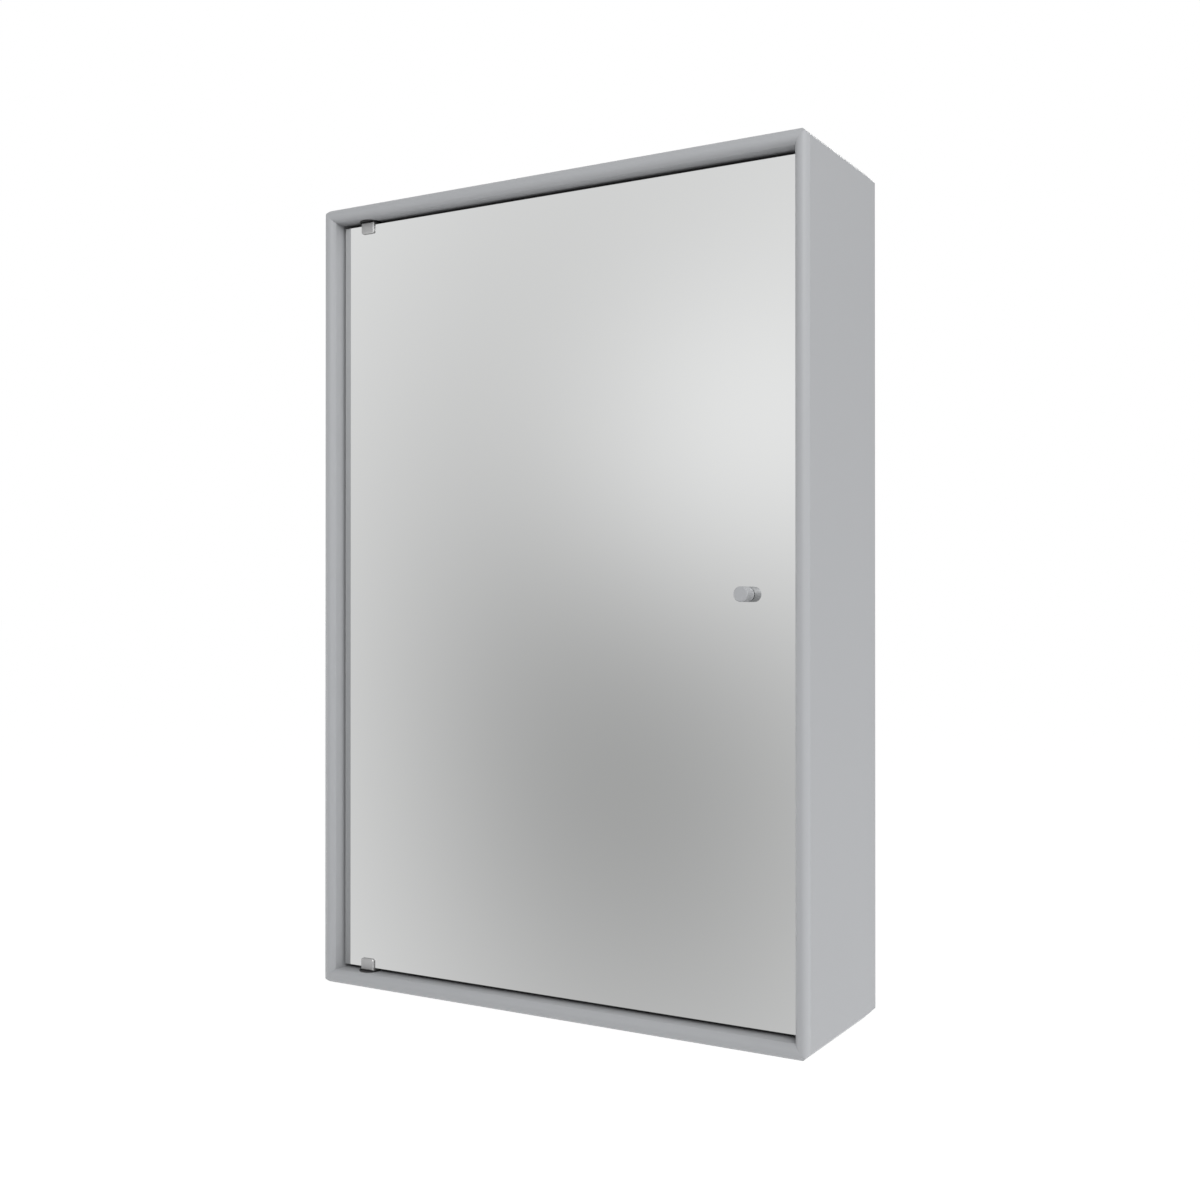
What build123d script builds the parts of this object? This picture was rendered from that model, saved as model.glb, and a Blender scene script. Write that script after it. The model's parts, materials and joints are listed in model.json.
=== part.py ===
from build123d import *
import os
from math import sqrt

# Mirror cabinet for the wall: a mitred carcass of lacquered boards with rounded front edges, a planted
# back panel, three glass shelves, and a frameless mirror door set inside the opening. The door turns on
# two pins near its left edge and is pulled open by a small round knob.
#
# Frame: millimetres. X to the right seen from the front, Y towards the wall, Z up.
# Origin: centre of the rear face, which lies on the wall. The room is at -Y.

# Driving dimensions: carcass
width = 468.0
height = 696.0
depth = 148.0
board = 12.0
back_board = 12.0
back_inset = 0.4
nose_rise = 4.6
crease_round = 0.4
corner_cut = 6.0
cut_edge_round = 0.5

# Driving dimensions: mirror door
glass = 5.0
glass_arris = 0.8
coating = 0.3
coating_margin = 1.0
mirror_setback = 14.5
side_gap = 2.2
end_gap = 3.1
pivot_from_edge = 27.0

# Driving dimensions: knob
knob_from_edge = 41.4
knob_radius = 6.0
knob_length = 13.0
knob_edge_bevel = 0.8
knob_bore_depth = 9.0
knob_screw_radius = 2.0
knob_screw_grip = 8.0
knob_head_radius = 4.0
knob_head_height = 2.4
knob_socket_across = 2.5
knob_socket_depth = 1.4
front_washer = 0.6
front_washer_radius = 5.0
rear_washer = 0.8
rear_washer_radius = 5.5
glass_hole_radius = 3.0

# Driving dimensions: hinge clip
clip_width = 14.2
clip_plate = 1.7
clip_bridge = 1.8
clip_leg = 3.0
clip_overlap = 8.0
clip_corner_radius = 2.0
clip_edge_bevel = 0.8
plate_corner_radius = 0.8
liner = 0.4
liner_width = 13.2
pressure_plate = 1.2
pressure_plate_width = 12.0
pressure_plate_height = 6.0
plate_to_leg = 0.9
clamp_screw_radius = 2.0
clamp_screw_length = 6.0
clamp_socket_across = 2.0
clamp_socket_depth = 2.0

# Driving dimensions: pivot
pin_radius = 2.5
pin_depth = 8.0
bush_radius = 5.0
bush_depth = 9.5
bush_flange = 0.6
bush_flange_radius = 9.5

# Driving dimensions: shelves and their supports
shelf_names = ("lower", "middle", "upper")
shelf_glass = 5.0
shelf_arris = 0.5
shelf_side_gap = 1.5
shelf_back_gap = 2.0
door_swing_room = 6.0
support_radius = 2.5
support_insert = 7.5
support_hole_depth = 8.5
support_width = 9.0
support_plate = 1.0
support_plate_drop = 4.0
support_tongue = 10.0
support_tongue_thickness = 1.6
support_top = 2.4
support_from_edge = 18.0
support_row_pitch = 32.0

# Driving dimensions: magnetic catch
catch_width = 14.0
catch_depth = 14.0
catch_body_height = 30.0
catch_ear_height = 9.0
catch_ear = 3.0
catch_wall = 1.5
pole_plate = 1.5
pole_stand_out = 0.5
pole_height = 24.0
magnet_width = 5.0
magnet_depth = 10.0
catch_air_gap = 0.2
strike_plate = 1.5
strike_pad = 0.5
strike_width = 12.0
strike_height = 36.0
strike_corner = 2.0
catch_screw_radius = 1.5
catch_screw_length = 11.0
catch_head_radius = 2.8
catch_head_height = 1.6

# Driving dimensions: loose splines and wall fixing
spline = 3.0
corner_spline_width = 8.0
spline_from_inner_corner = 3.5
spline_stop_front = 12.0
spline_stop_rear = 9.0
back_spline_width = 10.0
back_spline_stop = 20.0
sleeve_radius = 5.0
sleeve_bore_radius = 3.0
wall_hole_from_side = 54.0
wall_hole_from_end = 58.0

# Sides of the many small rods that stay out of sight
hidden_rod_sides = 12

# Named clearances
fit_gap = 0.05
glue_gap = 0.3

# Places worked out from the driving dimensions
half_width = width / 2
half_height = height / 2
inner_half_width = half_width - board
inner_half_height = half_height - board
front_y = -depth
back_front_y = -back_board
carcass_depth = depth - back_board

pane_half_width = inner_half_width - side_gap
pane_half_height = inner_half_height - end_gap
pane_front_y = front_y + mirror_setback
pane_rear_y = pane_front_y + glass
mirror_rear_y = pane_rear_y + coating

pivot_x = -pane_half_width + pivot_from_edge
pivot_y = (pane_front_y + pane_rear_y) / 2

knob_x = pane_half_width - knob_from_edge
knob_base_y = pane_front_y - front_washer

clip_front_y = pane_front_y - liner - clip_plate
plate_front_y = mirror_rear_y + liner
leg_front_y = plate_front_y + pressure_plate + plate_to_leg
clip_rear_y = leg_front_y + clip_leg

swing_radius = sqrt(pivot_from_edge ** 2 + glass ** 2)
shelf_front_y = pivot_y + swing_radius + door_swing_room
shelf_rear_y = back_front_y - shelf_back_gap
shelf_half_width = inner_half_width - shelf_side_gap
support_columns = (shelf_front_y + support_from_edge, shelf_rear_y - support_from_edge)
shelf_spacing = 2 * inner_half_height / (len(shelf_names) + 1)
shelf_levels = [-inner_half_height + shelf_spacing * (i + 1) for i in range(len(shelf_names))]

strike_front_y = mirror_rear_y + strike_pad
strike_rear_y = strike_front_y + strike_plate
pole_front_y = strike_rear_y + catch_air_gap
catch_front_y = pole_front_y + pole_stand_out
catch_rear_y = catch_front_y + catch_depth
catch_left_x = inner_half_width - catch_width
catch_mid_x = inner_half_width - catch_width / 2
ear_screw_z = catch_body_height / 2 + catch_ear_height / 2

wall_hole_places = [
    (side * (half_width - wall_hole_from_side), level * (half_height - wall_hole_from_end))
    for side in (-1, 1)
    for level in (-1, 1)
]


# Simple solids between two planes

def block(x, y, z):
    """Box between the pairs of coordinates x, y and z."""
    size = [max(pair) - min(pair) for pair in (x, y, z)]
    middle = [(pair[0] + pair[1]) / 2 for pair in (x, y, z)]
    return Pos(*middle) * Box(*size)


def rod_x(radius, x, y, z):
    """Round rod along X between the pair of coordinates x."""
    return Pos((x[0] + x[1]) / 2, y, z) * Rot(0, 90, 0) * Cylinder(radius, abs(x[1] - x[0]))


def rod_y(radius, x, y, z):
    """Round rod along Y between the pair of coordinates y."""
    return Pos(x, (y[0] + y[1]) / 2, z) * Rot(90, 0, 0) * Cylinder(radius, abs(y[1] - y[0]))


def rod_z(radius, x, y, z):
    """Round rod along Z between the pair of coordinates z."""
    return Pos(x, y, (z[0] + z[1]) / 2) * Cylinder(radius, abs(z[1] - z[0]))


def hidden_rod_x(radius, x, y, z):
    """Rod along X between the pair of coordinates x, with few sides because it stays out of sight."""
    outline = RegularPolygon(radius, hidden_rod_sides, major_radius=False)
    return Pos(min(x), y, z) * extrude(Plane.YZ * outline, abs(x[1] - x[0]))


def hex_pocket_y(across, x, y, z):
    """Hexagonal pocket along Y between the pair of coordinates y."""
    outline = RegularPolygon(across / 2, 6, major_radius=False)
    return Pos(x, max(y), z) * extrude(Plane.XZ * outline, abs(y[1] - y[0]))


# Carcass

def board_section():
    """Cross section of a board: first axis from its inner to its outer face, second axis front to rear."""
    inner_crease = (0, nose_rise)
    outer_crease = (board, nose_rise)
    nose = ThreePointArc(inner_crease, (board / 2, 0), outer_crease)
    rest = Polyline(outer_crease, (board, carcass_depth), (0, carcass_depth), inner_crease)
    section = make_face([nose, rest])
    creases = [v for v in section.vertices() if abs(v.Y - nose_rise) < crease_round]
    return fillet(creases, crease_round)


def front_outline(half_w, half_h, cut):
    """Rectangle with cut corners, standing in the XZ plane at Y = 0."""
    corners = [(-half_w, -half_h), (half_w, -half_h), (half_w, half_h), (-half_w, half_h)]
    rectangle = make_face(Polyline(*corners, close=True))
    return chamfer(rectangle.vertices(), cut)


def mitred_region(inner, outer, inner_across, outer_across):
    """Front view of one board, from its inner to its outer face, with both ends mitred and their tips cut.

    The first axis runs across the board, the second along it.
    """
    tip = corner_cut / 2
    points = [
        (inner, -inner_across),
        (inner, inner_across),
        (outer - tip, outer_across - tip),
        (outer, outer_across - corner_cut),
        (outer, -outer_across + corner_cut),
        (outer - tip, -outer_across + tip),
    ]
    region = make_face(Polyline(*points, close=True))
    edges = [v for v in region.vertices() if abs(v.X - outer) < cut_edge_round]
    return fillet(edges, cut_edge_round)


def corner_spline(side, level, slack):
    """Loose spline across the mitre of one corner, with slack at its ends and edges for its groove."""
    x = side * (inner_half_width + spline_from_inner_corner)
    z = level * (inner_half_height + spline_from_inner_corner)
    y_front = front_y + spline_stop_front - slack
    y_rear = back_front_y - spline_stop_rear + slack
    thickness = spline + 2 * min(slack, fit_gap)
    bar = Box(corner_spline_width + 2 * slack, y_rear - y_front, thickness)
    return Pos(x, (y_front + y_rear) / 2, z) * Rot(0, 45 * side * level, 0) * bar


def upright_back_spline(side, slack):
    """Loose spline between a side board and the back panel, with slack for its groove."""
    half_thick = spline / 2 + min(slack, fit_gap)
    mid_x = side * (half_width - board / 2)
    half_wide = back_spline_width / 2 + slack
    reach = inner_half_height - back_spline_stop + slack
    y = (back_front_y - half_wide, back_front_y + half_wide)
    return block((mid_x - half_thick, mid_x + half_thick), y, (-reach, reach))


def level_back_spline(level, slack):
    """Loose spline between the top or bottom board and the back panel, with slack for its groove."""
    half_thick = spline / 2 + min(slack, fit_gap)
    mid_z = level * (half_height - board / 2)
    half_wide = back_spline_width / 2 + slack
    reach = inner_half_width - back_spline_stop + slack
    y = (back_front_y - half_wide, back_front_y + half_wide)
    return block((-reach, reach), y, (mid_z - half_thick, mid_z + half_thick))


def corner_splines(slack):
    """The four splines of the mitred corners."""
    return [corner_spline(side, level, slack) for side in (-1, 1) for level in (-1, 1)]


def back_splines(slack):
    """The four splines around the back panel."""
    upright = [upright_back_spline(side, slack) for side in (-1, 1)]
    return upright + [level_back_spline(level, slack) for level in (-1, 1)]


grooves = corner_splines(glue_gap) + back_splines(glue_gap)


def support_hole(y, level):
    """Blind hole for a shelf support in the right side board."""
    x = (inner_half_width - 1, inner_half_width + support_hole_depth)
    return hidden_rod_x(support_radius + fit_gap, x, y, level)


def side_panel():
    """Right side board with mitred ends, spline grooves and rows of support holes."""
    start = Plane(origin=(inner_half_width, front_y, -half_height), x_dir=(1, 0, 0), z_dir=(0, 0, 1))
    panel = extrude(start * board_section(), height)
    region = mitred_region(inner_half_width, half_width, inner_half_height, half_height)
    panel &= extrude(Plane.XZ * region, depth)
    holes = [
        support_hole(y, level + row * support_row_pitch)
        for level in shelf_levels
        for row in (-1, 0, 1)
        for y in support_columns
    ]
    return panel - grooves - holes


def catch_screw_hole(level):
    """Pilot hole of one catch screw in the right side board."""
    x = (inner_half_width - 1, inner_half_width + catch_screw_length - catch_ear + glue_gap)
    y = catch_front_y + catch_depth / 2
    return hidden_rod_x(catch_screw_radius + fit_gap, x, y, level * ear_screw_z)


def top_panel():
    """Top board with mitred ends, spline grooves, screw holes and the bore of the upper pivot bush."""
    start = Plane(origin=(half_width, front_y, inner_half_height), x_dir=(0, 0, 1), z_dir=(-1, 0, 0))
    panel = extrude(start * board_section(), width)
    region = mitred_region(inner_half_height, half_height, inner_half_width, half_width)
    across_up = Plane(origin=(0, 0, 0), x_dir=(0, 0, 1), z_dir=(0, 1, 0))
    panel &= extrude(across_up * region, -depth)
    bore_z = (inner_half_height - 1, inner_half_height + bush_depth + glue_gap)
    bore = rod_z(bush_radius + fit_gap, pivot_x, pivot_y, bore_z)
    return panel - grooves - bore


def back_panel():
    """Board planted on the rear, a little inside the carcass outline, with holes for the wall sleeves."""
    outline = offset(front_outline(half_width, half_height, corner_cut), -back_inset, kind=Kind.INTERSECTION)
    panel = extrude(Plane.XZ * outline, back_board)
    holes = [rod_y(sleeve_radius + fit_gap, x, (-back_board - 1, 1), z) for x, z in wall_hole_places]
    return panel - grooves - holes


def wall_sleeve(x, z):
    """Steel sleeve in the back panel that a wall screw passes through."""
    barrel = rod_y(sleeve_radius, x, (back_front_y, 0), z)
    return barrel - rod_y(sleeve_bore_radius, x, (back_front_y - 1, 1), z)


# Shelves

def shelf(level):
    """Clear glass shelf that lies on the tongues of its four supports."""
    bottom = level + support_top
    x = (-shelf_half_width, shelf_half_width)
    plate = block(x, (shelf_front_y, shelf_rear_y), (bottom, bottom + shelf_glass))
    return chamfer(plate.edges(), shelf_arris)


def shelf_support(side, y, level):
    """Push-in support: a pin in the side board, a plate against it, and a tongue under the glass."""
    face = side * inner_half_width
    plate_face = face - side * support_plate
    wide = (y - support_width / 2, y + support_width / 2)
    top = level + support_top
    pin = hidden_rod_x(support_radius, (face + side * support_insert, face), y, level)
    plate = block((face, plate_face), wide, (level - support_plate_drop, top))
    tongue_x = (plate_face, face - side * support_tongue)
    tongue = block(tongue_x, wide, (top - support_tongue_thickness, top))
    return pin + plate + tongue


# Magnetic catch

def catch_housing():
    """Plastic housing on the right side board with two screw ears and a slot for magnet and pole plates."""
    y = (catch_front_y, catch_rear_y)
    body = block((catch_left_x, inner_half_width), y, (-catch_body_height / 2, catch_body_height / 2))
    ear_z = catch_body_height / 2 + catch_ear_height
    ears = block((inner_half_width - catch_ear, inner_half_width), y, (-ear_z, ear_z))
    housing = body + ears
    stack = magnet_width / 2 + pole_plate + fit_gap
    slot_y = (catch_front_y - 1, catch_front_y + magnet_depth + fit_gap)
    slot_z = pole_height / 2 + fit_gap
    slot = block((catch_mid_x - stack, catch_mid_x + stack), slot_y, (-slot_z, slot_z))
    screw_y = catch_front_y + catch_depth / 2
    hole_x = (inner_half_width - catch_ear - 1, inner_half_width + 1)
    hole_radius = catch_screw_radius + fit_gap
    holes = [hidden_rod_x(hole_radius, hole_x, screw_y, level * ear_screw_z) for level in (-1, 1)]
    long_edges = housing.edges().filter_by(Axis.Y).group_by(Axis.X)[0]
    housing = chamfer(long_edges, catch_wall)
    return housing - slot - holes


def catch_magnet():
    """Block magnet between the pole plates."""
    half = magnet_width / 2
    y = (catch_front_y, catch_front_y + magnet_depth)
    return block((catch_mid_x - half, catch_mid_x + half), y, (-pole_height / 2, pole_height / 2))


def pole_piece(side):
    """Steel plate beside the magnet that stands a little out of the housing towards the strike plate."""
    near = catch_mid_x + side * magnet_width / 2
    y = (pole_front_y, catch_front_y + magnet_depth)
    return block((near, near + side * pole_plate), y, (-pole_height / 2, pole_height / 2))


def catch_screw(level):
    """Pan head screw through one ear of the catch into the side board."""
    y = catch_front_y + catch_depth / 2
    z = level * ear_screw_z
    face = inner_half_width - catch_ear
    head = rod_x(catch_head_radius, (face - catch_head_height, face), y, z)
    return head + hidden_rod_x(catch_screw_radius, (face, face + catch_screw_length), y, z)


# Door

def mirror_pane():
    """Glass of the door with ground edges and the hole of the knob screw."""
    x = (-pane_half_width, pane_half_width)
    pane = block(x, (pane_front_y, pane_rear_y), (-pane_half_height, pane_half_height))
    pane = chamfer(pane.edges(), glass_arris)
    return pane - rod_y(glass_hole_radius, knob_x, (pane_front_y - 1, pane_rear_y + 1), 0)


def mirror_coating():
    """Reflective layer with its protective paint on the rear face of the glass."""
    x = pane_half_width - coating_margin
    z = pane_half_height - coating_margin
    layer = block((-x, x), (pane_rear_y, mirror_rear_y), (-z, z))
    return layer - rod_y(glass_hole_radius, knob_x, (pane_rear_y - 1, mirror_rear_y + 1), 0)


def door_knob():
    """Round knob with a bevelled front edge and a blind bore for its screw."""
    front = knob_base_y - knob_length
    knob = rod_y(knob_radius, knob_x, (front, knob_base_y), 0)
    knob = chamfer(knob.faces().sort_by(Axis.Y)[0].edges(), knob_edge_bevel)
    bore_y = (knob_base_y - knob_bore_depth, knob_base_y + 1)
    return knob - rod_y(knob_screw_radius + fit_gap, knob_x, bore_y, 0)


def washer(radius, y):
    """Flat washer of the knob screw between the pair of coordinates y."""
    hole = rod_y(knob_screw_radius + fit_gap, knob_x, (y[0] - 1, y[1] + 1), 0)
    return rod_y(radius, knob_x, y, 0) - hole


def knob_screw():
    """Screw from the rear of the glass into the knob."""
    head_y = mirror_rear_y + rear_washer
    head = rod_y(knob_head_radius, knob_x, (head_y, head_y + knob_head_height), 0)
    shank = rod_y(knob_screw_radius, knob_x, (knob_base_y - knob_screw_grip, head_y), 0)
    top = head_y + knob_head_height
    return head + shank - hex_pocket_y(knob_socket_across, knob_x, (top - knob_socket_depth, top + 1), 0)


def strike_body(y):
    """Rounded plate behind the mirror, opposite the catch, between the pair of coordinates y."""
    x = (catch_mid_x - strike_width / 2, catch_mid_x + strike_width / 2)
    plate = block(x, y, (-strike_height / 2, strike_height / 2))
    return fillet(plate.edges().filter_by(Axis.Y), strike_corner)


# Lower hinge; the upper one is its mirror image

glass_edge_z = -pane_half_height
bridge_top_z = glass_edge_z - liner
bridge_bottom_z = bridge_top_z - clip_bridge
clip_free_z = glass_edge_z + clip_overlap
plate_mid_z = glass_edge_z + clip_overlap / 2
half_clip = clip_width / 2


def hinge_clip():
    """U-shaped metal clip around the lower edge of the glass: front plate, bridge and threaded rear leg."""
    body = block(
        (pivot_x - half_clip, pivot_x + half_clip),
        (clip_front_y, clip_rear_y),
        (bridge_bottom_z, clip_free_z),
    )
    free_corners = body.edges().filter_by(Axis.Y).group_by(Axis.Z)[-1]
    body = fillet(free_corners, clip_corner_radius)
    body = chamfer(body.faces().sort_by(Axis.Y)[0].edges(), clip_edge_bevel)
    slot_x = (pivot_x - half_clip - 1, pivot_x + half_clip + 1)
    slot = block(slot_x, (pane_front_y - liner, leg_front_y), (bridge_top_z, clip_free_z + 1))
    pin_hole = rod_z(pin_radius + fit_gap, pivot_x, pivot_y, (bridge_bottom_z - 1, bridge_top_z + 1))
    screw_y = (leg_front_y - 1, clip_rear_y + 1)
    screw_hole = rod_y(clamp_screw_radius + fit_gap, pivot_x, screw_y, plate_mid_z)
    return body - slot - pin_hole - screw_hole


def hinge_liner():
    """Soft U-shaped strip between the clip and the glass."""
    half = liner_width / 2
    x = (pivot_x - half, pivot_x + half)
    top = clip_free_z - clip_edge_bevel
    outer = block(x, (pane_front_y - liner, plate_front_y), (bridge_top_z, top))
    inner_x = (x[0] - 1, x[1] + 1)
    return outer - block(inner_x, (pane_front_y, mirror_rear_y), (glass_edge_z, top + 1))


def clamp_plate():
    """Metal plate that spreads the pressure of the clamping screw."""
    half_w = pressure_plate_width / 2
    half_h = pressure_plate_height / 2
    x = (pivot_x - half_w, pivot_x + half_w)
    y = (plate_front_y, plate_front_y + pressure_plate)
    plate = block(x, y, (plate_mid_z - half_h, plate_mid_z + half_h))
    return fillet(plate.edges().filter_by(Axis.Y), plate_corner_radius)


def clamp_screw():
    """Headless screw in the rear leg that presses the plate against the glass."""
    start = plate_front_y + pressure_plate
    end = start + clamp_screw_length
    screw = rod_y(clamp_screw_radius, pivot_x, (start, end), plate_mid_z)
    socket_y = (end - clamp_socket_depth, end + 1)
    return screw - hex_pocket_y(clamp_socket_across, pivot_x, socket_y, plate_mid_z)


def pivot_pin():
    """Pin riveted in the bridge of the clip, which turns in the bush of the board below."""
    tip_z = -inner_half_height - pin_depth
    pin = rod_z(pin_radius, pivot_x, pivot_y, (tip_z, bridge_top_z))
    return chamfer(pin.faces().sort_by(Axis.Z)[0].edges(), pin_radius / 5)


def pivot_bush():
    """Flanged plastic bush in the bottom board."""
    z_floor = -inner_half_height
    sleeve = rod_z(bush_radius, pivot_x, pivot_y, (z_floor - bush_depth, z_floor))
    flange = rod_z(bush_flange_radius, pivot_x, pivot_y, (z_floor, z_floor + bush_flange))
    bore_z = (z_floor - bush_depth - 1, z_floor + bush_flange + 1)
    return sleeve + flange - rod_z(pin_radius + fit_gap, pivot_x, pivot_y, bore_z)


# Assembly: the name of each piece and its solids

right_panel = side_panel()
upper_panel = top_panel()
parts = {
    "side_panel_left": [mirror(right_panel, about=Plane.YZ)],
    "side_panel_right": [right_panel - [catch_screw_hole(level) for level in (-1, 1)]],
    "top_panel": [upper_panel],
    "bottom_panel": [mirror(upper_panel, about=Plane.XY)],
    "back_panel": [back_panel()],
    "corner_splines": corner_splines(0),
    "back_panel_splines": back_splines(0),
    "wall_screw_sleeves": [wall_sleeve(x, z) for x, z in wall_hole_places],
    "catch_housing": [catch_housing()],
    "catch_magnet": [catch_magnet()],
    "catch_pole_plates": [pole_piece(side) for side in (-1, 1)],
    "catch_screws": [catch_screw(level) for level in (-1, 1)],
    "mirror_pane": [mirror_pane()],
    "mirror_coating": [mirror_coating()],
    "door_knob": [door_knob()],
    "knob_front_washer": [washer(front_washer_radius, (knob_base_y, pane_front_y))],
    "knob_rear_washer": [washer(rear_washer_radius, (mirror_rear_y, mirror_rear_y + rear_washer))],
    "knob_screw": [knob_screw()],
    "strike_adhesive_pad": [strike_body((mirror_rear_y, strike_front_y))],
    "strike_plate": [strike_body((strike_front_y, strike_rear_y))],
}

for name, level in zip(shelf_names, shelf_levels):
    parts["shelf_" + name] = [shelf(level)]
    parts["shelf_supports_" + name] = [
        shelf_support(side, y, level) for side in (-1, 1) for y in support_columns
    ]

lower_hinge = {
    "hinge_clip": hinge_clip(),
    "hinge_liner": hinge_liner(),
    "clamp_plate": clamp_plate(),
    "clamp_screw": clamp_screw(),
    "pivot_pin": pivot_pin(),
    "pivot_bush": pivot_bush(),
}
for name, solid in lower_hinge.items():
    parts["lower_" + name] = [solid]
    parts["upper_" + name] = [mirror(solid, about=Plane.XY)]

os.makedirs("parts", exist_ok=True)
for node, solids in parts.items():
    shape = solids[0] if len(solids) == 1 else Compound(children=solids)
    export_step(shape, f"parts/{node}.step")
    print(node, len(solids), round(sum(solid.volume for solid in solids), 1))
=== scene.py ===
# %% [markdown]
# # A mirror cabinet for the wall
#
# The cabinet is a box of grey lacquered board with a rounded front edge. A frameless mirror hangs inside
# that edge and turns on two small metal clips at its left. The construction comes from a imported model, so
# this file gives it what a drawing leaves out: its fine shapes, its finishes and its studio. Everything is
# in metres, with +X to the right, +Y towards the wall and +Z up. The origin is the middle of the rear face.

# %% Load the construction
import json
from math import cos, radians, sin

import bmesh
import bpy
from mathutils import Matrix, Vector


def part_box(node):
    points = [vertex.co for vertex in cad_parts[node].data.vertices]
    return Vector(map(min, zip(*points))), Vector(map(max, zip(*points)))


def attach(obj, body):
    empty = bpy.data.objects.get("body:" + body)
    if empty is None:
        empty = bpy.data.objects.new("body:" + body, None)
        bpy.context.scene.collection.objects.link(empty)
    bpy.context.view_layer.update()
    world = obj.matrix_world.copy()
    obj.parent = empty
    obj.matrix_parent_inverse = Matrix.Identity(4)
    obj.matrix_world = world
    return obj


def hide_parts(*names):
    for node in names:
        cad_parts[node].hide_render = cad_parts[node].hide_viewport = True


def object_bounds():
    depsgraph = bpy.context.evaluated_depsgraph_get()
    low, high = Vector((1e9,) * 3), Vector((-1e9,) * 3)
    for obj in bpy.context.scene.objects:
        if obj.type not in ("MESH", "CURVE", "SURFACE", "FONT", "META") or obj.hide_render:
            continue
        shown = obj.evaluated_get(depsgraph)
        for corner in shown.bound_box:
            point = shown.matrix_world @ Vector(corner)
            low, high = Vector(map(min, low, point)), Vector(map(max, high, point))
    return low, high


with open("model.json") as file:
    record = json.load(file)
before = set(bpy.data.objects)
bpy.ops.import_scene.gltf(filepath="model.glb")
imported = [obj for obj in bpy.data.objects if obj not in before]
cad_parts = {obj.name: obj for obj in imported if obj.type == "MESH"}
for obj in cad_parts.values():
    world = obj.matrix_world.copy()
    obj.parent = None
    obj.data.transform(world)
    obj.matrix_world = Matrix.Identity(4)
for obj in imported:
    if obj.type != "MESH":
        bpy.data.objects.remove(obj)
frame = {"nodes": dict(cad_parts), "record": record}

MM = 0.001
nodes = frame["nodes"]
cad_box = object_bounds()
print("construction:", len(nodes), "pieces, corners", [[round(v, 4) for v in c] for c in cad_box])

# %% [markdown]
# ## Sums in a finish
#
# A finish is a small web of shader nodes. Wired by hand in a script, it turns into a page of links that
# hides the idea. So a little class wraps each output socket and lets ordinary sums stand for Math nodes:
# writing `1 - mask` adds the node that does it, which is why the reflected forms are there too. Colours
# never go through those sums, because a Math node would turn them grey. They go through a Mix node.

# %% A socket that can be used in sums
class Wire:
    """One output socket of a finish, used in sums like a number."""

    def __init__(self, finish, socket):
        self.finish = finish
        self.socket = socket

    def maths(self, operation, *values):
        return self.finish.add("ShaderNodeMath", {"operation": operation}, dict(enumerate(values)))

    def __add__(self, other):
        return self.maths("ADD", self, other)

    def __radd__(self, other):
        return self.maths("ADD", other, self)

    def __sub__(self, other):
        return self.maths("SUBTRACT", self, other)

    def __rsub__(self, other):
        return self.maths("SUBTRACT", other, self)

    def __mul__(self, other):
        return self.maths("MULTIPLY", self, other)

    def __rmul__(self, other):
        return self.maths("MULTIPLY", other, self)

    def __neg__(self):
        return self.maths("MULTIPLY", self, -1.0)

    def __abs__(self):
        return self.maths("ABSOLUTE", self)

    def __gt__(self, limit):
        return self.maths("GREATER_THAN", self, limit)

    def exp(self):
        return self.maths("EXPONENT", self)

    def at_most(self, limit):
        return self.maths("MINIMUM", self, limit)

    def output(self, name):
        """Another output of the same node."""
        return Wire(self.finish, self.socket.node.outputs[name])


# %% A finish and the one method that adds its nodes
class Finish:
    """The node tree of a material or a world, filled through one method."""

    def __init__(self, owner):
        owner.use_nodes = True
        self.tree = owner.node_tree
        self.tree.nodes.clear()

    def add(self, kind, settings, sockets, output=0):
        """Adds a node: its settings first, then the values or links of its sockets."""
        node = self.tree.nodes.new(kind)
        for name, value in settings.items():
            setattr(node, name, value)
        for key, value in sockets.items():
            if isinstance(value, Wire):
                self.tree.links.new(value.socket, node.inputs[key])
            else:
                node.inputs[key].default_value = value
        return Wire(self, node.outputs[output]) if len(node.outputs) else None

    def place(self):
        """Object coordinates: metres from the cabinet's origin, on the piece itself."""
        return self.add("ShaderNodeTexCoord", {}, {}, "Object")

    def axes(self):
        """The three object coordinates as numbers."""
        x = self.add("ShaderNodeSeparateXYZ", {}, {0: self.place()}, "X")
        return x, x.output("Y"), x.output("Z")

    def noise(self, grain, detail=2.0):
        """Soft random pattern from 0 to 1 whose features measure about grain metres."""
        sockets = {"Vector": self.place(), "Scale": 1 / grain, "Detail": detail}
        return self.add("ShaderNodeTexNoise", {}, sockets)

    def blend(self, mask, first, second):
        """A colour between two others, by a mask from 0 to 1."""
        return self.add("ShaderNodeMix", {"data_type": "RGBA"}, {0: mask, 6: first, 7: second}, 2)

    def bump(self, height, depth):
        """A normal that follows a height pattern, whose full range measures depth metres."""
        return self.add("ShaderNodeBump", {}, {"Height": height, "Distance": depth})

    def surface(self, **sockets):
        """The closing shader. A constant is set on its own socket and a pattern is linked to it."""
        named = {name.replace("_", " "): value for name, value in sockets.items()}
        shader = self.add("ShaderNodeBsdfPrincipled", {}, named)
        self.add("ShaderNodeOutputMaterial", {}, {"Surface": shader})


def new_finish(name):
    """An empty material and the finish that fills it."""
    material = bpy.data.materials.new(name)
    return material, Finish(material)


def colour(level, tint=(1.0, 1.0, 1.0)):
    """A colour from a linear brightness and a tint."""
    return (level * tint[0], level * tint[1], level * tint[2], 1.0)


# %% [markdown]
# ## Satin lacquer on fibreboard
#
# The carcass and the knob share one cool light grey lacquer with a satin sheen. Sprayed lacquer is never
# quite flat: it dries with a fine orange peel, its sheen drifts a little over a board, and the pigment has a
# very fine mottle. Each of these is a noise at its real scale. The peel is a bump of about a hundredth of a
# millimetre, so it breaks up the reflections up close and disappears at a few steps.

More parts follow.
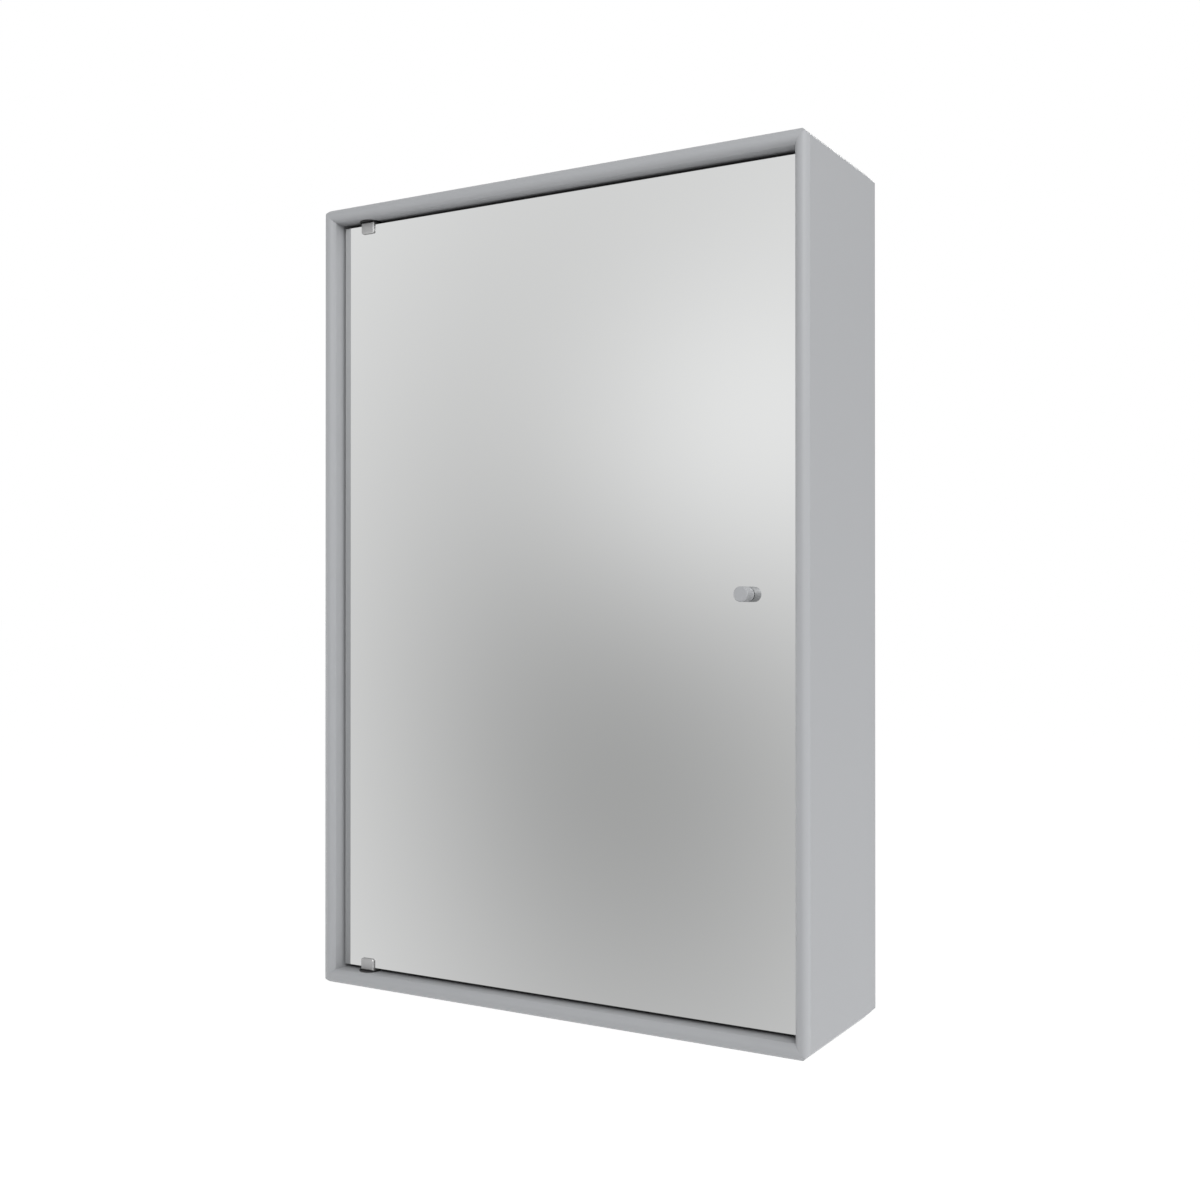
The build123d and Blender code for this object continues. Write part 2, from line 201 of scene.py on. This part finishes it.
# %% Lacquer
COOL_GREY = (0.975, 0.995, 1.03)
LACQUER_LEVEL = 0.40


def lacquer_finish(name):
    material, f = new_finish(name)
    drift = f.noise(120 * MM)
    pigment = f.noise(0.5 * MM, detail=1.0)
    peel = f.noise(1.4 * MM, detail=1.0)
    dark = colour(LACQUER_LEVEL * 0.975, COOL_GREY)
    light = colour(LACQUER_LEVEL * 1.025, COOL_GREY)
    f.surface(
        Base_Color=f.blend(0.5 * drift + 0.5 * pigment, dark, light),
        Roughness=0.42 + 0.10 * drift,
        Specular_IOR_Level=0.3,
        Normal=f.bump(peel, 0.012 * MM),
    )
    return material


# %% [markdown]
# ## Mirror glass
#
# The door is float glass, silvered and painted at the rear. Traced as a slab of glass it would set every
# image a few millimetres away from the thing it mirrors, and show a grey band along its edges. In the
# photograph the image of the knob starts right at the knob and the mirror meets the dark gap without a
# band. So the silver is drawn on the front face. The edge is ground on a wheel, which leaves it matt and a
# little green.

# %% The mirror's face, its ground edge and its back paint
GLASS_GREEN = (0.93, 1.0, 0.965)
SILVER_TINT = (0.994, 1.0, 0.996)


def mirror_face():
    material, f = new_finish("mirror_face")
    cloud = f.noise(90 * MM, detail=3.0)
    f.surface(
        Base_Color=f.blend(cloud, colour(0.905, SILVER_TINT), colour(0.915, SILVER_TINT)),
        Metallic=1.0,
        Roughness=0.004 * cloud,
    )
    return material


def ground_edge():
    material, f = new_finish("ground_glass_edge")
    wheel_mark = f.noise(0.3 * MM)
    f.surface(
        Base_Color=f.blend(wheel_mark, colour(0.33, GLASS_GREEN), colour(0.41, GLASS_GREEN)),
        Roughness=0.42 + 0.12 * wheel_mark,
        Normal=f.bump(wheel_mark, 0.01 * MM),
    )
    return material


def back_paint():
    material, f = new_finish("mirror_back_paint")
    roller = f.noise(2.5 * MM, detail=3.0)
    f.surface(
        Base_Color=f.blend(roller, colour(0.115, COOL_GREY), colour(0.135, COOL_GREY)),
        Roughness=0.50 + 0.12 * roller,
        Normal=f.bump(roller, 0.02 * MM),
    )
    return material


# %% [markdown]
# ## Clear shelves
#
# The shelves are the same float glass without silver. Seen through the face they are nearly colourless, and
# seen through the polished edge they are green. A mask from the distance to the border tells the two apart.

# %% Shelf glass
def shelf_glass():
    low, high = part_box("shelf_middle")
    half_wide = (high.x - low.x) / 2
    middle_deep = (low.y + high.y) / 2
    half_deep = (high.y - low.y) / 2
    border = 0.3 * MM
    material, f = new_finish("shelf_glass")
    x, y, _ = f.axes()
    at_side = abs(x) > half_wide - border
    at_front = abs(y - middle_deep) > half_deep - border
    edge = (at_side + at_front).at_most(1.0)
    wipe = f.noise(45 * MM, detail=4.0)
    f.surface(
        Base_Color=f.blend(edge, colour(0.985, (0.985, 1.0, 0.993)), colour(0.72, (0.78, 1.0, 0.90))),
        Roughness=0.01 * wipe + 0.03 * edge,
        IOR=1.52,
        Transmission_Weight=1.0,
    )
    return material


# %% [markdown]
# ## Metal, plastic and wood
#
# The small parts share two recipes. A metal is fully metallic and its tone comes from its base colour, with
# a fine grain in its sheen. A moulded or painted part is matt with a fine speckle and a shallow grain. The
# plywood of the hidden splines shows its plies as bands of a wave pattern, where half a wave is one ply.

# %% Small parts
def metal(name, level, roughness):
    material, f = new_finish(name)
    grain = f.noise(0.35 * MM, detail=3.0)
    f.surface(
        Base_Color=f.blend(grain, colour(level * 0.95), colour(level * 1.05)),
        Metallic=1.0,
        Roughness=roughness + 0.10 * grain,
        Normal=f.bump(grain, 0.003 * MM),
    )
    return material


def moulded(name, level, roughness, grain_size=0.5 * MM):
    material, f = new_finish(name)
    grain = f.noise(grain_size)
    f.surface(
        Base_Color=f.blend(grain, colour(level * 0.92), colour(level * 1.08)),
        Roughness=roughness + 0.12 * grain,
        Normal=f.bump(grain, 0.012 * MM),
    )
    return material


PLY = 1.0 * MM
HALF_WAVE = 0.314
DARK_BIRCH = colour(0.36, (1.35, 1.0, 0.66))
PALE_BIRCH = colour(0.56, (1.25, 1.0, 0.74))


def plywood():
    material, f = new_finish("birch_plywood")
    banding = {"bands_direction": "DIAGONAL"}
    plies = f.add("ShaderNodeTexWave", banding, {"Vector": f.place(), "Scale": HALF_WAVE / PLY})
    fibre = f.noise(1.2 * MM, detail=4.0)
    f.surface(
        Base_Color=f.blend(0.7 * plies + 0.3 * fibre, DARK_BIRCH, PALE_BIRCH),
        Roughness=0.55 + 0.1 * fibre,
        Normal=f.bump(fibre, 0.03 * MM),
    )
    return material


lacquer = lacquer_finish("satin_lacquer")
glass_face = mirror_face()
glass_edge = ground_edge()
finishes = {
    "lacquer": lacquer,
    "knob_grey": lacquer_finish("knob_lacquer"),
    "mirror_layer": back_paint(),
    "glass": shelf_glass(),
    "steel": metal("zinc_plated_steel", 0.46, 0.42),
    "hinge_metal": metal("satin_nickel", 0.45, 0.55),
    "spline_wood": plywood(),
    "catch_plastic": moulded("catch_plastic", 0.60, 0.40),
    "magnet": moulded("ferrite_magnet", 0.035, 0.55),
    "washer": moulded("washer_plastic", 0.52, 0.40),
    "liner": moulded("clip_liner", 0.50, 0.45),
    "pad": moulded("foam_pad", 0.70, 0.75, grain_size=0.9 * MM),
    "bush_plastic": moulded("black_bush", 0.012, 0.40),
}
slot_of = {row["node"]: row["material_slot"] for row in frame["record"]["subparts"]}
print("finishes:", sorted(finishes))

# %% [markdown]
# ## Modelling by hand, from a script
#
# Every new piece starts as a primitive and is shaped in edit mode with the same operators that the menus
# offer. An operator acts on what is selected, so the one helper that matters picks faces, edges or points
# by their place or normal. A finished piece keeps its place in its mesh, with its object at the origin.

# %% Picking, starting and finishing
NEAR = 0.01 * MM


def pick(kind, wanted):
    """In edit mode, selects only the points, edges or faces for which wanted() is true."""
    bpy.ops.mesh.select_all(action="DESELECT")
    bpy.ops.mesh.select_mode(type=kind)
    mesh = bmesh.from_edit_mesh(bpy.context.object.data)
    items = {"VERT": mesh.verts, "EDGE": mesh.edges, "FACE": mesh.faces}[kind]
    for item in items:
        item.select_set(wanted(item))
    mesh.select_flush_mode()
    bmesh.update_edit_mesh(bpy.context.object.data)


def lies_at(axis, place):
    """A test for edges and faces: true where all their points have this coordinate."""
    return lambda item: all(abs(v.co[axis] - place) < NEAR for v in item.verts)


def choose(piece):
    """Makes one piece the selected and active object."""
    bpy.ops.object.select_all(action="DESELECT")
    piece.select_set(True)
    bpy.context.view_layer.objects.active = piece


def apply_place(piece):
    """Moves the place, turn and scale of an object into its mesh."""
    choose(piece)
    bpy.ops.object.transform_apply(location=True, rotation=True, scale=True)


def start_block(name, low, high):
    """A cube primitive stretched between two corners."""
    bpy.ops.object.select_all(action="DESELECT")
    bpy.ops.mesh.primitive_cube_add(size=1, location=(low + high) / 2, scale=high - low)
    piece = bpy.context.object
    piece.name = name
    apply_place(piece)
    return piece


def start_rod(name, radius, start, end, sides=64):
    """A cylinder primitive between two points."""
    bpy.ops.object.select_all(action="DESELECT")
    turn = (end - start).to_track_quat("Z", "Y").to_euler()
    bpy.ops.mesh.primitive_cylinder_add(
        vertices=sides, radius=radius, depth=(end - start).length, location=(start + end) / 2, rotation=turn
    )
    piece = bpy.context.object
    piece.name = name
    apply_place(piece)
    return piece


def own_copy(piece, name):
    """A copy of an object with a mesh of its own."""
    copy = piece.copy()
    copy.data = piece.data.copy()
    copy.name = name
    bpy.context.scene.collection.objects.link(copy)
    return copy


def edit(piece):
    """Opens a piece in edit mode with nothing picked."""
    choose(piece)
    bpy.ops.object.mode_set(mode="EDIT")
    bpy.ops.mesh.select_all(action="DESELECT")


def leave_edit():
    """Closes edit mode again."""
    bpy.ops.object.mode_set(mode="OBJECT")


def draw_out(*distance):
    """Extrudes what is selected by a distance along each axis."""
    bpy.ops.mesh.extrude_region_move(TRANSFORM_OT_translate={"value": distance})


def bevel_edges(width, segments):
    """Bevels the selected edges."""
    bpy.ops.mesh.bevel(offset=width, offset_type="OFFSET", segments=segments, affect="EDGES")


def join(pieces, name):
    """Several objects made one."""
    bpy.ops.object.select_all(action="DESELECT")
    for piece in pieces:
        piece.select_set(True)
    bpy.context.view_layer.objects.active = pieces[0]
    if len(pieces) > 1:
        bpy.ops.object.join()
    pieces[0].name = name
    return pieces[0]


def apply_modifier(piece, kind, **settings):
    """Adds one modifier and applies it."""
    choose(piece)
    modifier = piece.modifiers.new(kind.lower(), kind)
    for key, value in settings.items():
        setattr(modifier, key, value)
    bpy.ops.object.modifier_apply(modifier=modifier.name)


def cut_away(piece, tools):
    """Takes the shape of the tools out of the piece, and removes the tools."""
    tool = join(tools, "tool")
    apply_modifier(piece, "BOOLEAN", operation="DIFFERENCE", solver="EXACT", object=tool, use_self=True)
    bpy.data.objects.remove(tool)


def finish_piece(piece, body, node, material, smooth_below=32):
    """Smooth shading below an angle in degrees, a finish, and the piece's place in the cabinet."""
    choose(piece)
    bpy.ops.object.shade_smooth_by_angle(angle=radians(smooth_below))
    apply_modifier(piece, "WEIGHTED_NORMAL", keep_sharp=True)
    piece.data.materials.clear()
    piece.data.materials.append(material)
    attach(piece, body)
    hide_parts(node)
    print(piece.name, "stands for", node, "with", len(piece.data.polygons), "faces")


# %% [markdown]
# ## The nosed boards
#
# All four boards of the carcass are one moulding: 12 mm fibreboard with its front edge milled to a shallow
# round nose that stops at a crisp crease on each side. The boards meet in mitres, and the long outer corners
# are cut at 45 degrees. A bevelled cube could fake this, but its crease would be lost. So the section is
# drawn as the router cuts it: an oval, sliced well before its widest place, which keeps the crease crisp,
# with the flat faces drawn out of that slice. The section is then drawn out to a board and both ends are
# sliced. The crease turns by more than the 20 degrees up to which these boards are shaded smooth, so it stays
# a line.

# %% Sizes of the moulding
WIDTH = cad_box[1].x - cad_box[0].x
HEIGHT = cad_box[1].z - cad_box[0].z
FRONT = cad_box[0].y
BOARD = 12 * MM
NOSE_RISE = 4.6 * MM
NOSE_TURN = radians(50)
NOSE_ACROSS = BOARD / 2 / sin(NOSE_TURN)
NOSE_DEEP = NOSE_RISE / (1 - cos(NOSE_TURN))
SMOOTH_BELOW = 20
CORNER_CUT = 6 * MM
CUT_ROUND = 0.25 * MM
BACK_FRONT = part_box("back_panel")[0].y
print("nose oval", round(NOSE_ACROSS / MM, 2), "by", round(NOSE_DEEP / MM, 2), "mm")


# %% One board, standing at the right
def nosed_board(name, outer, half_length):
    """A mitred board that stands upright with its outer face at x = outer."""
    inner = outer - BOARD
    crease = FRONT + NOSE_RISE
    bpy.ops.object.select_all(action="DESELECT")
    bpy.ops.mesh.primitive_circle_add(
        vertices=128,
        radius=NOSE_ACROSS,
        fill_type="NGON",
        location=(outer - BOARD / 2, FRONT + NOSE_DEEP, -half_length),
    )
    board = bpy.context.object
    board.name = name
    board.scale = (1, NOSE_DEEP / NOSE_ACROSS, 1)
    apply_place(board)
    edit(board)
    bpy.ops.mesh.select_all(action="SELECT")
    bpy.ops.mesh.bisect(plane_co=(0, crease, 0), plane_no=(0, 1, 0), clear_outer=True)
    pick("EDGE", lies_at(1, crease))
    draw_out(0, BACK_FRONT - crease, 0)
    bpy.ops.mesh.select_all(action="SELECT")
    draw_out(0, 0, 2 * half_length)
    bpy.ops.mesh.select_all(action="SELECT")
    bpy.ops.mesh.normals_make_consistent(inside=False)
    for end in (-1, 1):
        mitre = ((inner, 0, end * (half_length - BOARD)), (-1, 0, end))
        corner = ((outer, 0, end * (half_length - CORNER_CUT)), (1, 0, end))
        for point, normal in (mitre, corner):
            bpy.ops.mesh.select_all(action="SELECT")
            bpy.ops.mesh.bisect(plane_co=point, plane_no=normal, clear_outer=True, use_fill=True)
    leave_edit()
    return board


# %% Its softened corner cuts
def soften_board(board, outer, half_length):
    """Rounds the long edge of each corner cut, and flattens the outer face again."""
    level = half_length - CORNER_CUT

    def on_cut(edge):
        at_outer = lies_at(0, outer)(edge)
        return at_outer and all(abs(abs(v.co.z) - level) < NEAR for v in edge.verts)

    edit(board)
    pick("EDGE", on_cut)
    bevel_edges(CUT_ROUND, 3)
    pick("VERT", lambda point: point.co.x > outer - NEAR)
    bpy.ops.transform.resize(value=(0, 1, 1), center_override=(outer, 0, 0))
    leave_edit()


# %% [markdown]
# ## Holes in the boards
#
# Each shelf can stand at three heights, so each side board has a short row of holes above and below every
# support. The top and bottom boards each have one bore for the bush of the door's pivot. The pins and bushes
# say where the holes go, so nothing is measured twice.

# %% Where the holes go
HOLE_RADIUS = 2.55 * MM
HOLE_DEPTH = 8.5 * MM
ROW_PITCH = 32 * MM
SUPPORT_RISE = 2.4 * MM
SUPPORT_INSET = 4.5 * MM
BUSH_BORE_RADIUS = 5.05 * MM
BUSH_END_PLAY = 0.3 * MM
LEAD = 1 * MM
INNER = WIDTH / 2 - BOARD
pivot_low, pivot_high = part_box("lower_pivot_pin")
pivot = (pivot_low + pivot_high) / 2


def support_places():
    """Depth and height of every support of the right side board."""
    places = []
    for shelf in ("lower", "middle", "upper"):
        low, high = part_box("shelf_supports_" + shelf)
        level = high.z - SUPPORT_RISE
        for depth in (low.y + SUPPORT_INSET, high.y - SUPPORT_INSET):
            places += [(depth, level + row * ROW_PITCH) for row in (-1, 0, 1)]
    return places


def support_holes():
    """Rods that cut the rows of support holes."""
    return [
        start_rod("tool", HOLE_RADIUS, Vector((INNER - LEAD, y, z)), Vector((INNER + HOLE_DEPTH, y, z)), 32)
        for y, z in support_places()
    ]


def pivot_bore():
    """The rod that cuts the bore of the upper bush."""
    bush_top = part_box("upper_pivot_bush")[1].z
    start = Vector((pivot.x, pivot.y, HEIGHT / 2 - BOARD - LEAD))
    end = Vector((pivot.x, pivot.y, bush_top + BUSH_END_PLAY))
    return start_rod("tool", BUSH_BORE_RADIUS, start, end, 48)


# %% The four boards in place
def turned(board, name, angle):
    """A copy turned about the Y axis through the origin, by an angle in degrees."""
    copy = own_copy(board, name)
    copy.rotation_euler = (0, radians(angle), 0)
    apply_place(copy)
    return copy


side_right = nosed_board("side_board_right", WIDTH / 2, HEIGHT / 2)
soften_board(side_right, WIDTH / 2, HEIGHT / 2)
cut_away(side_right, support_holes())
side_left = turned(side_right, "side_board_left", 180)
end_board = nosed_board("end_board", HEIGHT / 2, WIDTH / 2)
soften_board(end_board, HEIGHT / 2, WIDTH / 2)
top = turned(end_board, "top_board", -90)
cut_away(top, [pivot_bore()])
bottom = own_copy(top, "bottom_board")
bottom.scale = (1, 1, -1)
apply_place(bottom)
edit(bottom)
bpy.ops.mesh.select_all(action="SELECT")
bpy.ops.mesh.normals_make_consistent(inside=False)
leave_edit()
bpy.data.objects.remove(end_board)
finish_piece(side_right, "cabinet", "side_panel_right", lacquer, SMOOTH_BELOW)
finish_piece(side_left, "cabinet", "side_panel_left", lacquer, SMOOTH_BELOW)
finish_piece(top, "cabinet", "top_panel", lacquer, SMOOTH_BELOW)
finish_piece(bottom, "cabinet", "bottom_panel", lacquer, SMOOTH_BELOW)

# %% [markdown]
# ## The mirror pane
#
# The pane is a sheet of glass with a narrow arris all round and a drilled hole for the knob's screw. A
# block with its edges bevelled once gives the arris, and the faces are then told apart by their normals: the
# front is the mirror, and the rest is ground glass. The painted layer behind is a separate thin sheet that
# starts a hair behind the glass, so that no two faces lie in one plane.

# %% Glass of the door
ARRIS = 0.4 * MM
GLASS_HOLE = 3 * MM
FACES_FORWARD = -0.99
pane_low, pane_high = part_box("mirror_pane")
knob_low, knob_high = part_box("door_knob")
knob_middle = (knob_low + knob_high) / 2
pane = start_block("mirror_glass", pane_low, pane_high)
edit(pane)
bpy.ops.mesh.select_all(action="SELECT")
bevel_edges(ARRIS, 1)
leave_edit()
drill_start = Vector((knob_middle.x, pane_low.y - LEAD, knob_middle.z))
drill_end = Vector((knob_middle.x, pane_high.y + LEAD, knob_middle.z))
cut_away(pane, [start_rod("tool", GLASS_HOLE, drill_start, drill_end)])
finish_piece(pane, "door", "mirror_pane", glass_face, SMOOTH_BELOW)
pane.data.materials.append(glass_edge)
for face in pane.data.polygons:
    face.material_index = 0 if face.normal.y < FACES_FORWARD else 1

# %% Paint behind the glass
HAIR = 0.02 * MM
paint_low, paint_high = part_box("mirror_coating")
paint = start_block("mirror_back_paint", Vector((paint_low.x, pane_high.y + HAIR, paint_low.z)), paint_high)
cut_away(paint, [start_rod("tool", GLASS_HOLE, drill_start, drill_end)])
finish_piece(paint, "door", "mirror_coating", finishes["mirror_layer"])

# %% [markdown]
# ## The knob
#
# The knob is a plain turned cylinder, lacquered like the carcass. Its front rim has a small chamfer, which
# shows as a fine darker ring around the face. One bevel segment keeps that ring crisp, where more would roll
# it over. The bore for its screw is made by an inset of the rear face, pushed in.

# %% Knob
KNOB_RIM = 0.8 * MM
REAR_RIM = 0.2 * MM
BORE_RADIUS = 2.05 * MM
BORE_DEPTH = 9 * MM
knob_radius = (knob_high.z - knob_low.z) / 2
axis_front = Vector((knob_middle.x, knob_low.y, knob_middle.z))
axis_rear = Vector((knob_middle.x, knob_high.y, knob_middle.z))
knob = start_rod("turned_knob", knob_radius, axis_front, axis_rear, 96)
edit(knob)
pick("EDGE", lies_at(1, knob_low.y))
bevel_edges(KNOB_RIM, 1)
pick("EDGE", lies_at(1, knob_high.y))
bevel_edges(REAR_RIM, 2)
pick("FACE", lies_at(1, knob_high.y))
bpy.ops.mesh.inset(thickness=knob_radius - REAR_RIM - BORE_RADIUS)
draw_out(0, -BORE_DEPTH, 0)
leave_edit()
finish_piece(knob, "door", "door_knob", finishes["knob_grey"])

# %% [markdown]
# ## Small parts with broken edges
#
# Clips, plates and supports have the right shape already, but every edge in the construction is a razor. A
# real part is tumbled, deburred or moulded, and the thin bright line along its edges is what makes it read
# as an object. Each part is copied, its loose triangles are merged into clean faces, and a narrow bevel
# rounds every sharp edge.

# %% Break the edges of a part
SAME_POINT = 0.001 * MM
SAME_PLANE = radians(1)
SHARP_EDGE = radians(35)


def soften(node, body, width):
    """Makes a copy of a piece with merged faces and bevelled edges, which stands for it."""
    piece = bpy.data.objects.new(node + "_soft", nodes[node].data.copy())
    bpy.context.scene.collection.objects.link(piece)
    edit(piece)
    bpy.ops.mesh.select_all(action="SELECT")
    bpy.ops.mesh.remove_doubles(threshold=SAME_POINT)
    bpy.ops.mesh.dissolve_limited(angle_limit=SAME_PLANE)
    leave_edit()
    limits = {"limit_method": "ANGLE", "angle_limit": SHARP_EDGE, "use_clamp_overlap": True}
    apply_modifier(piece, "BEVEL", width=width, segments=2, **limits)
    finish_piece(piece, body, node, finishes[slot_of[node]])


CLIP_EDGE = 0.5 * MM
PLATE_EDGE = 0.12 * MM
STRIKE_EDGE = 0.2 * MM
HOUSING_EDGE = 0.35 * MM
SUPPORT_EDGE = 0.2 * MM
for end in ("lower_", "upper_"):
    soften(end + "hinge_clip", "door", CLIP_EDGE)
    soften(end + "clamp_plate", "door", PLATE_EDGE)
soften("strike_plate", "door", STRIKE_EDGE)
soften("catch_housing", "cabinet", HOUSING_EDGE)
soften("catch_pole_plates", "cabinet", PLATE_EDGE)
for shelf in ("lower", "middle", "upper"):
    soften("shelf_supports_" + shelf, "cabinet", SUPPORT_EDGE)

# %% [markdown]
# ## The pieces that stay as they are
#
# Screws, washers, pins, bushes, splines and glass shelves keep the mesh of the construction. They need only
# their finish, which goes into the material slot of each one. What a new piece replaced is hidden by now,
# so the pieces still shown are the ones to finish.

# %% Finishes of the pieces that keep their construction
kept = [name for name, node in nodes.items() if not node.hide_render]
for name in kept:
    nodes[name].data.materials.clear()
    nodes[name].data.materials.append(finishes[slot_of[name]])
print("construction pieces with a finish:", kept)

# %% [markdown]
# ## The studio
#
# The photograph is a cut-out on pure white. White comes from what the camera, a reflection and a view
# through glass see in the world and the floor, and not from more light on the cabinet, so the lacquer keeps
# its own tone. The floor is where it would be under a cabinet on a wall, about 1.2 m lower.

# %% World and floor
def gathered_rays(f):
    """1 for light that a matt surface gathers, also by way of the mirror, and 0 for what is only seen."""
    return f.add("ShaderNodeLightPath", {}, {}, "Diffuse Depth") > 0.5


def seen_rays(f):
    """1 for what the camera, a reflection or a view through glass meets, and 0 for gathered light."""
    camera_ray = f.add("ShaderNodeLightPath", {}, {}, "Is Camera Ray")
    rays = camera_ray + camera_ray.output("Is Glossy Ray") + camera_ray.output("Is Transmission Ray")
    return rays.at_most(1.0) * (1 - gathered_rays(f))


WHITE = (1.0, 1.0, 1.0, 1.0)
AMBIENT = 0.40
FLOOR_Z = -1.55
FLOOR_WHITE = 0.66
world = bpy.data.worlds.new("studio")
bpy.context.scene.world = world
sky = Finish(world)
strength = AMBIENT + (1 - AMBIENT) * seen_rays(sky)
background = sky.add("ShaderNodeBackground", {}, {"Color": WHITE, "Strength": strength})
sky.add("ShaderNodeOutputWorld", {}, {"Surface": background})

bpy.ops.object.select_all(action="DESELECT")
bpy.ops.mesh.primitive_plane_add(size=200, location=(0, 0, FLOOR_Z))
floor = bpy.context.object
floor.name = "studio_floor"
floor_paint, f = new_finish("studio_floor")
matt = f.add("ShaderNodeBsdfDiffuse", {}, {"Color": colour(0.85)})
glow = f.add("ShaderNodeEmission", {}, {"Color": WHITE, "Strength": FLOOR_WHITE * seen_rays(f)})
lit = f.add("ShaderNodeAddShader", {}, {0: matt, 1: glow})
f.add("ShaderNodeOutputMaterial", {}, {"Surface": lit})
floor.data.materials.append(floor_paint)
print("world light", AMBIENT, "and a floor at", FLOOR_Z, "m")

# %% [markdown]
# ## What the mirror sees
#
# A mirror has no look of its own: it shows what stands in front of it. In the photograph that is a room of
# soft grey, lighter at the top and with a dim pool low down. A photographer would put up a large card
# painted with that gradient. Here a card at the front left, hidden from the camera, glows by itself with it
# instead. It is painted light and shade of a room, seen only in reflections and through glass. Two soft pools
# on an even grey are enough, one of painted shade and one of painted light, each a bell curve in the card's
# own plane.

# %% Gradient card
CARD_SIZE = (3.0, 3.6)
CARD_PLACE = (-1.45, -2.6, 0.0)
CARD_GREY = 0.82
PAINTED_SHADE_POOL = {"centre": (-1.3, -0.3), "spread": (1.0, 1.4), "step": -0.45}
PAINTED_LIGHT_POOL = {"centre": (-1.0, 0.4), "spread": (0.65, 0.55), "step": 0.31}
BLACK = (0.0, 0.0, 0.0, 1.0)
CARD_WHITE = (0.998, 1.0, 1.0, 1.0)

bpy.ops.object.select_all(action="DESELECT")
bpy.ops.mesh.primitive_plane_add(size=1, location=CARD_PLACE, rotation=(radians(90), 0, 0))
card = bpy.context.object
card.name = "gradient_card"
card.scale = (*CARD_SIZE, 1)
apply_place(card)
card_glow, f = new_finish("gradient_card")
card_x, _, card_z = f.axes()


def pool(centre, spread, step):
    """A soft round pool on the card that changes its glow by step in the middle: painted light where step is
    above 0, painted shade where it is below.
    """
    across = (card_x - centre[0]) * (1 / spread[0])
    up = (card_z - centre[1]) * (1 / spread[1])
    return step * (-(across * across + up * up)).exp()


# The card's glow is an even grey with one pool of painted shade and one pool of painted light.
tone = CARD_GREY + pool(**PAINTED_SHADE_POOL) + pool(**PAINTED_LIGHT_POOL)
share = 1 - (1 - AMBIENT) * gathered_rays(f)
# The card glows by itself through an emission shader, though it is no lamp.
glow = f.add("ShaderNodeEmission", {}, {"Color": f.blend(tone * share, BLACK, CARD_WHITE)})
f.add("ShaderNodeOutputMaterial", {}, {"Surface": glow})
card.data.materials.append(card_glow)
card.visible_camera = False
card.visible_diffuse = False
card.visible_shadow = False
print("gradient card", CARD_SIZE, "m at", CARD_PLACE)

# %% [markdown]
# ## Four softboxes
#
# Satin lacquer wants broad, plain light. The key stands high at the front right and shapes the round nose.
# A low lamp at the right lifts the lower half of the side, a weak one at the left keeps the far board from
# going dead, and one behind lights the back. None of them stands where the mirror would show it to the
# camera, because a mirror turns a lamp into a hard white wedge. Each lamp is cut off after one bounce, so
# that the mirror doesn't throw it on the boards beside it.

# %% Soft light
def softbox(name, place, size, power):
    """A square softbox aimed at the middle of the cabinet."""
    light = bpy.data.lights.new(name, "AREA")
    light.energy = power
    light.size = size
    light.cycles.max_bounces = 1
    lamp = bpy.data.objects.new(name, light)
    bpy.context.scene.collection.objects.link(lamp)
    lamp.location = place
    aim = cad_box[0].lerp(cad_box[1], 0.5) - lamp.location
    lamp.rotation_euler = aim.to_track_quat("-Z", "Y").to_euler()
    lamp.visible_camera = False
    print(name, power, "W at", place)


softbox("key_softbox", (1.5, -2.1, 1.3), 1.6, 50)
softbox("side_softbox", (1.9, 0.0, -1.1), 0.9, 13)
softbox("fill_softbox", (-3.0, -1.0, -0.5), 1.6, 24)
softbox("rear_softbox", (-1.1, 2.8, 0.9), 1.6, 45)

# %% [markdown]
# ## The camera
#
# The lens, place and turn of the camera were worked out from the photograph: the eight corners of the carcass
# and its straight edges fix them to within a pixel. The lens is 43 mm on a 36 mm wide frame, level with the
# middle of the cabinet, and 30 degrees to the right of its front.

# %% Camera
camera_data = bpy.data.cameras.new("camera")
camera_data.sensor_width = 36
camera_data.lens = 43.446
camera = bpy.data.objects.new("camera", camera_data)
bpy.context.scene.collection.objects.link(camera)
camera.location = (0.6394, -1.1528, -0.0086)
camera.rotation_euler = (radians(90.215), 0, radians(30.151))
bpy.context.scene.camera = camera
bpy.context.scene.view_settings.view_transform = "Standard"
print("camera:", round(camera_data.lens, 1), "mm at", tuple(camera.location))
